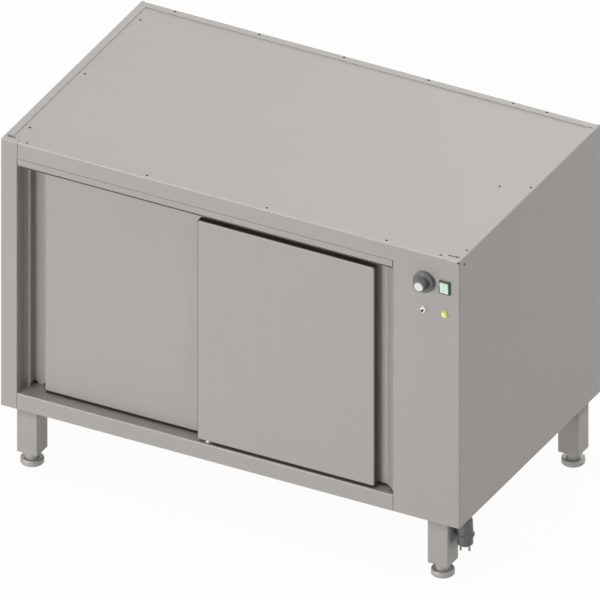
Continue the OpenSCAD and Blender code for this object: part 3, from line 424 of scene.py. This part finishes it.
# %% A node tree for round heads
heads_tree, start, end, HEAD_IDS = new_tree("round_heads", {
    "Points": "Geometry", "Radius": "Float", "Flatness": "Vector", "Turn": "Vector", "Finish": "Material"})
ball = add(heads_tree, "GeometryNodeMeshUVSphere", Segments=20, Rings=10)
flat = heads_tree.nodes.new("GeometryNodeTransform")
turned = heads_tree.nodes.new("FunctionNodeEulerToRotation")
spread = heads_tree.nodes.new("GeometryNodeInstanceOnPoints")
wire(heads_tree, [
    (start.outputs["Radius"], ball.inputs["Radius"]),
    (ball.outputs["Mesh"], flat.inputs["Geometry"]),
    (start.outputs["Flatness"], flat.inputs["Scale"]),
    (start.outputs["Points"], spread.inputs["Points"]),
    (flat.outputs["Geometry"], spread.inputs["Instance"]),
    (start.outputs["Turn"], turned.inputs[0]),
    (turned.outputs[0], spread.inputs["Rotation"])])
close_tree(heads_tree, spread.outputs["Instances"], start, end)


def heads(name, points, radius, height, turn, finish):
    """Round heads on the cabinet; the height is a share of the radius."""
    values = {"Radius": radius, "Flatness": (1, 1, height), "Turn": turn, "Finish": finish}
    grow(name, points, heads_tree, HEAD_IDS, values, "cabinet")


print("tree:", heads_tree.name, "nodes:", len(heads_tree.nodes))

# %% Rivets on the back panel
back_low, back_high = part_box("back_panel")
RIVET_R, RIVET_HEIGHT, RIVETS, RIVET_EDGE = 0.0044, 0.3, 6, 0.012
FIRST_UP, STEP_UP = 0.03, 0.118
FIRST_ALONG, STEP_ALONG = 0.12, 0.1746
TO_BACK = (math.pi / 2, 0, 0)
rivets = [(side, back_high.y, back_low.z + FIRST_UP + STEP_UP * i)
          for side in (back_low.x + RIVET_EDGE, back_high.x - RIVET_EDGE) for i in range(RIVETS)]
rivets += [(back_low.x + FIRST_ALONG + STEP_ALONG * i, back_high.y, back_low.z + RIVET_EDGE)
           for i in range(RIVETS)]
heads("back_rivets", rivets, RIVET_R, RIVET_HEIGHT, TO_BACK, turned_steel)

# %% Screws in the chamber's side walls
bracket_low, bracket_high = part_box("shelf_supports")
grille_low, grille_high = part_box("air_grille")
SCREW_R, SCREW_HEIGHT = 0.0038, 0.4
SCREW_DROP, BRACKET_MIDDLE, HALF_PITCH, GRILLE_EDGE = 0.025, 0.02, 0.011, 0.01
TO_SIDE = (0, math.pi / 2, 0)
screw_z = bracket_high.z - SCREW_DROP
bracket_ys = [y + d for y in (bracket_low.y + BRACKET_MIDDLE, bracket_high.y - BRACKET_MIDDLE)
              for d in (-HALF_PITCH, HALF_PITCH)]
left_places = [(bracket_low.x + SHEET, y, screw_z) for y in bracket_ys]
right_places = [(bracket_high.x - SHEET, y, screw_z) for y in bracket_ys]
right_places += [(grille_low.x, y, z) for y in (grille_low.y + GRILLE_EDGE, grille_high.y - GRILLE_EDGE)
                 for z in (grille_low.z + GRILLE_EDGE, grille_high.z - GRILLE_EDGE)]
for name, places in (("left_bracket_screws", left_places), ("right_wall_screws", right_places)):
    heads(name, places, SCREW_R, SCREW_HEIGHT, TO_SIDE, liner_z)

# %% [markdown]
# ## Thermostat knob
# The solid has the skirt, the barrel and a pale cap. The real knob also has a grip of fine ribs
# and a pale line that shows the setting. They could be cut into the solid, but they are too fine
# for it. The ribs repeat round a ring, so a second small tree makes them, and the line is one thin
# bar with softened edges.

# %% Ribs round the barrel
KNOB_X, KNOB_Z, FRONT_Y = 0.4725, 0.7425, -0.311
SKIRT_FACE, BARREL_R = 0.0086, 0.0135
RIBS, RIB_R, RIB_L, RIB_GAP = 30, 0.0007, 0.016, 0.0002
face_y = FRONT_Y - SKIRT_FACE
ribs_tree, start, end, RIB_IDS = new_tree("grip_ribs", {
    "Points": "Geometry", "Count": "Int", "Ring": "Float", "Rib": "Float", "Length": "Float",
    "Place": "Vector", "Turn": "Vector", "Finish": "Material"})
ring = ribs_tree.nodes.new("GeometryNodeMeshCircle")
rod = add(ribs_tree, "GeometryNodeMeshCylinder", Vertices=8)
spread = ribs_tree.nodes.new("GeometryNodeInstanceOnPoints")
moved = ribs_tree.nodes.new("GeometryNodeTransform")
turned = ribs_tree.nodes.new("FunctionNodeEulerToRotation")
wire(ribs_tree, [
    (start.outputs["Count"], ring.inputs["Vertices"]),
    (start.outputs["Ring"], ring.inputs["Radius"]),
    (start.outputs["Rib"], rod.inputs["Radius"]),
    (start.outputs["Length"], rod.inputs["Depth"]),
    (ring.outputs["Mesh"], spread.inputs["Points"]),
    (rod.outputs["Mesh"], spread.inputs["Instance"]),
    (spread.outputs["Instances"], moved.inputs["Geometry"]),
    (start.outputs["Place"], moved.inputs["Translation"]),
    (start.outputs["Turn"], turned.inputs[0]),
    (turned.outputs[0], moved.inputs["Rotation"])])
close_tree(ribs_tree, moved.outputs["Geometry"], start, end)
grow("knob_ribs", [(0, 0, 0)], ribs_tree, RIB_IDS,
     {"Count": RIBS, "Ring": BARREL_R, "Rib": RIB_R, "Length": RIB_L, "Turn": TO_BACK,
      "Place": (KNOB_X, face_y - RIB_L / 2 - RIB_GAP, KNOB_Z), "Finish": knob_plastic},
     "knob")

# %% The pointer line on the skirt
POINTER_HALF, POINTER_T, POINTER_SOFT = 0.0011, 0.0003, 0.0002
POINTER_FROM, POINTER_TO = 0.0145, 0.0233


def slab(name, low, high, soften, finish, body, place=None):
    """A small block with softened edges that moves with a body, with its place in its mesh."""
    mesh = bpy.data.meshes.new(name)
    shape = bmesh.new()
    bmesh.ops.create_cube(shape, size=1.0)
    for vertex in shape.verts:
        vertex.co = [lo + (c + 0.5) * (hi - lo) for lo, hi, c in zip(low, high, vertex.co)]
    bmesh.ops.bevel(shape, geom=list(shape.edges), offset=soften, segments=2, affect="EDGES")
    shape.to_mesh(mesh)
    shape.free()
    if place:
        mesh.transform(place)
    mesh.materials.append(finish)
    piece = show(name, mesh, body)
    print(name + ":", [round(v, 4) for v in piece.dimensions])


slab("knob_pointer", (KNOB_X - POINTER_HALF, face_y - POINTER_T, KNOB_Z + POINTER_FROM),
     (KNOB_X + POINTER_HALF, face_y + POINTER_T, KNOB_Z + POINTER_TO), POINTER_SOFT, pointer_paint,
     "knob")

# %% [markdown]
# ## Foam in the corner
# Below the right jamb the control compartment would be open to the warm chamber. A block of closed
# foam stands on the base pan in that corner and stops the draught. It could be left out, as it
# hardly shows, but then daylight from under the cupboard shines through the gap. It takes its size
# from the sheets round it.

# %% Foam block
rail_low, rail_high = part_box("bottom_rail")
jamb_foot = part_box("right_jamb")[0].z
FOAM_W, FOAM_D, FOAM_SOFT = 0.023, 0.027, 0.0015
foam_x, foam_y = rail_high.x + SHEET, rail_low.y + 2 * SHEET
slab("corner_foam", (foam_x + FREE, foam_y, rail_low.z + SHEET + FREE),
     (foam_x + FOAM_W, foam_y + FOAM_D, jamb_foot - FREE), FOAM_SOFT, seal_foam,
     "cabinet")

# %% [markdown]
# ## Dark strips round the doors, and guide pegs
# The dark lines round the doors are painted shade: a thin dark plastic strip along the front edge
# of the door track, a strip of the same plastic along the free edge of the right door, and a dark
# rubber strip behind the lower edge of each door's skin. The lines could be left to shadow alone,
# but then they would depend on where the lamps stand. The strips under the doors stop short of the
# guide pegs, which have a domed collar on the sill.

# %% Dark strips of painted shade, and collars
SHADE_LIP_H, SHADE_SWEEP_T, SHADE_SWEEP_LIFT, PEG_ROOM = 0.0038, 0.0016, 0.0008, 0.012
SHADE_STRIP_SOFT, SHADE_TRIM_T, SHADE_TRIM_SOFT = 0.0002, 0.0006, 0.0001
COLLAR_R, COLLAR_HEIGHT = 0.0062, 0.7
track_low, track_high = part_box("door_track")
guide_low, guide_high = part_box("floor_guide")
# Painted shade: a dark strip along the lower edge of the track, where the shadow line falls.
slab("track_shade_strip", (track_low.x + FREE, track_low.y + FREE, track_low.z - SHADE_LIP_H),
     (track_high.x - FREE, track_low.y + SHEET, track_low.z), SHADE_STRIP_SOFT, edge_and_shade_plastic,
     "cabinet")
left_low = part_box("left_door_skin")[0]
right_low, right_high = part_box("right_door_skin")
shade_sweeps = {"left": (left_low, left_low.x + 2 * SHEET, guide_low.x - PEG_ROOM),
          "right": (right_low, guide_high.x + PEG_ROOM, right_high.x - 2 * SHEET)}
# Painted shade: dark rubber strips fill the gap under each door.
for side, (skin_low, near, far) in shade_sweeps.items():
    slab(side + "_door_shade_sweep", (near, skin_low.y + FREE, rail_high.z + SHADE_SWEEP_LIFT),
         (far, skin_low.y + FREE + SHADE_SWEEP_T, skin_low.z), SHADE_STRIP_SOFT, shade_rubber,
         side + "_door")
# Painted shade: a dark strip along the free edge of the right door.
slab("right_door_edge_shade", (right_low.x - SHADE_TRIM_T, right_low.y + SHEET, right_low.z + SHEET),
     (right_low.x, right_high.y, right_high.z - SHEET), SHADE_TRIM_SOFT, edge_and_shade_plastic,
     "right_door")
peg_x, peg_r = (guide_low.x + guide_high.x) / 2, (guide_high.x - guide_low.x) / 2
pegs = [(peg_x, y, rail_high.z) for y in (guide_low.y + peg_r, guide_high.y - peg_r)]
heads("guide_collars", pegs, COLLAR_R, COLLAR_HEIGHT, (0, 0, 0), white_plastic)

# %% [markdown]
# ## Switch marks
# The rocker is lit from inside and has the usual bar and ring for on and off. They are moulded in,
# hardly darker than the face. A text object could make them, but two simple outlines are exact and
# light.

# %% Bar and ring on the rocker
PIVOT, TILT, ROCKER_FACE = Vector((0.5225, -0.3132, 0.741)), math.radians(5), -0.0038
MARK_T, MARK_SOFT = 0.00015, 0.00005
RING_OUT, RING_IN, RING_DROP, RING_SIDES = 0.0023, 0.0016, 0.0065, 32
BAR_HALF, BAR_FROM, BAR_TO = 0.00035, 0.0042, 0.0088
on_rocker = Matrix.Translation(PIVOT) @ Matrix.Rotation(TILT, 4, "X")


def outline_mark(name, outer, inner):
    """A flat ring between two closed outlines (x, height) on the rocker's face, given its thickness."""
    n = len(outer)
    verts = [(x, y, z) for y in (ROCKER_FACE + MARK_T, ROCKER_FACE - MARK_T) for x, z in outer + inner]
    faces = []
    for i in range(n):
        j = (i + 1) % n
        faces += [(i, j, n + j, n + i), (2 * n + i, 3 * n + i, 3 * n + j, 2 * n + j),
                  (i, 2 * n + i, 2 * n + j, j), (n + i, n + j, 3 * n + j, 3 * n + i)]
    mesh = bpy.data.meshes.new(name)
    mesh.from_pydata(verts, [], faces)
    shape = bmesh.new()
    shape.from_mesh(mesh)
    bmesh.ops.recalc_face_normals(shape, faces=shape.faces)
    shape.to_mesh(mesh)
    shape.free()
    mesh.transform(on_rocker)
    mesh.materials.append(mark_paint)
    show(name, mesh, "rocker")


angles = [2 * math.pi * i / RING_SIDES for i in range(RING_SIDES)]
outer, inner = [[(r * math.cos(a), r * math.sin(a) - RING_DROP) for a in angles]
                for r in (RING_OUT, RING_IN)]
outline_mark("off_ring", outer, inner)
slab("on_bar", (-BAR_HALF, ROCKER_FACE - MARK_T, BAR_FROM), (BAR_HALF, ROCKER_FACE + MARK_T, BAR_TO),
     MARK_SOFT, mark_paint, "rocker", on_rocker)
print("switch marks: ring and bar")

# %% [markdown]
# ## Light, floor and background
# A plain studio: a faint white light all round, a broad lamp far off at the front left, one above, a
# low one that reaches in under the base, a weak one at the right, so that the right side is the
# darkest, and one behind for the back. One bright sky could light it all, but then the door opening
# would lose its depth. The background is white because the world and the floor show white to the
# camera and to reflections, and not because the lamps are strong.

# %% A faint light all round
WORLD_LIGHT = 0.08


def white_for_camera(tree):
    """1 for rays that show the background itself or its reflection, 0 for the rays that light things."""
    path = tree.nodes.new("ShaderNodeLightPath")
    seen = path.outputs["Is Camera Ray"]
    for name in ("Is Glossy Ray", "Is Transmission Ray"):
        larger = add(tree, "ShaderNodeMath", operation="MAXIMUM")
        tree.links.new(seen, larger.inputs[0])
        tree.links.new(path.outputs[name], larger.inputs[1])
        seen = larger.outputs[0]
    return seen


world = bpy.data.worlds.new("studio")
world.use_nodes = True
scene.world = world
sky = world.node_tree
backdrop = sky.nodes["Background"]
backdrop.inputs["Color"].default_value = (1, 1, 1, 1)
strength = ranged(sky, white_for_camera(sky), WORLD_LIGHT, 1.0, 0.0, 1.0)
sky.links.new(strength, backdrop.inputs["Strength"])
print("world:", world.name, "light", WORLD_LIGHT)

# %% Lamps
LAMPS = {    # where each stands, what it points at, its side in metres and its power
    "key_lamp": ((-6.0, -9.8, 3.7), (0, 0, 0.45), 4.4, 558),
    "top_lamp": ((-0.3, 0.3, 5.0), (0, 0, 0.6), 3.0, 138),
    "low_lamp": ((-2.2, -7.7, 0.45), (0.3, 0, 0.15), 0.8, 118),
    "side_lamp": ((4.2, 1.4, 1.8), (0.5, 0, 0.45), 2.0, 36),
    "back_lamp": ((-1.6, 6.4, 1.7), (0, 0, 0.4), 2.4, 120),
}
for name, (place, target, size, power) in LAMPS.items():
    light = bpy.data.lights.new(name, "AREA")
    light.shape = "SQUARE"
    light.size = size
    light.energy = power
    lamp = bpy.data.objects.new(name, light)
    aim = (Vector(target) - Vector(place)).to_track_quat("-Z", "Y")
    lamp.matrix_world = Matrix.Translation(place) @ aim.to_matrix().to_4x4()
    scene.collection.objects.link(lamp)

# %% Lay the floor
HALF, FLOOR_TONE, FLOOR_SHOWN = 12.0, 0.85, 0.96
floor_mesh = bpy.data.meshes.new("floor")
corners = [(x * HALF, y * HALF, 0) for x, y in ((-1, -1), (1, -1), (1, 1), (-1, 1))]
floor_mesh.from_pydata(corners, [], [(0, 1, 2, 3)])
floor = bpy.data.objects.new("floor", floor_mesh)
scene.collection.objects.link(floor)
floor_paint = bpy.data.materials.new("floor_white")
floor_paint.use_nodes = True
tree = floor_paint.node_tree
tree.nodes.remove(tree.nodes["Principled BSDF"])
matt = add(tree, "ShaderNodeBsdfDiffuse", Color=(FLOOR_TONE, FLOOR_TONE, FLOOR_TONE, 1))
glow = add(tree, "ShaderNodeEmission", Color=(1, 1, 1, 1), Strength=1.0)
share = tree.nodes.new("ShaderNodeMixShader")
wire(tree, [
    (ranged(tree, white_for_camera(tree), 0.0, FLOOR_SHOWN, 0.0, 1.0), share.inputs["Fac"]),
    (matt.outputs[0], share.inputs[1]),
    (glow.outputs[0], share.inputs[2]),
    (share.outputs[0], tree.nodes["Material Output"].inputs["Surface"])])
floor_mesh.materials.append(floor_paint)
scene.view_settings.view_transform = "Standard"
print("floor laid")
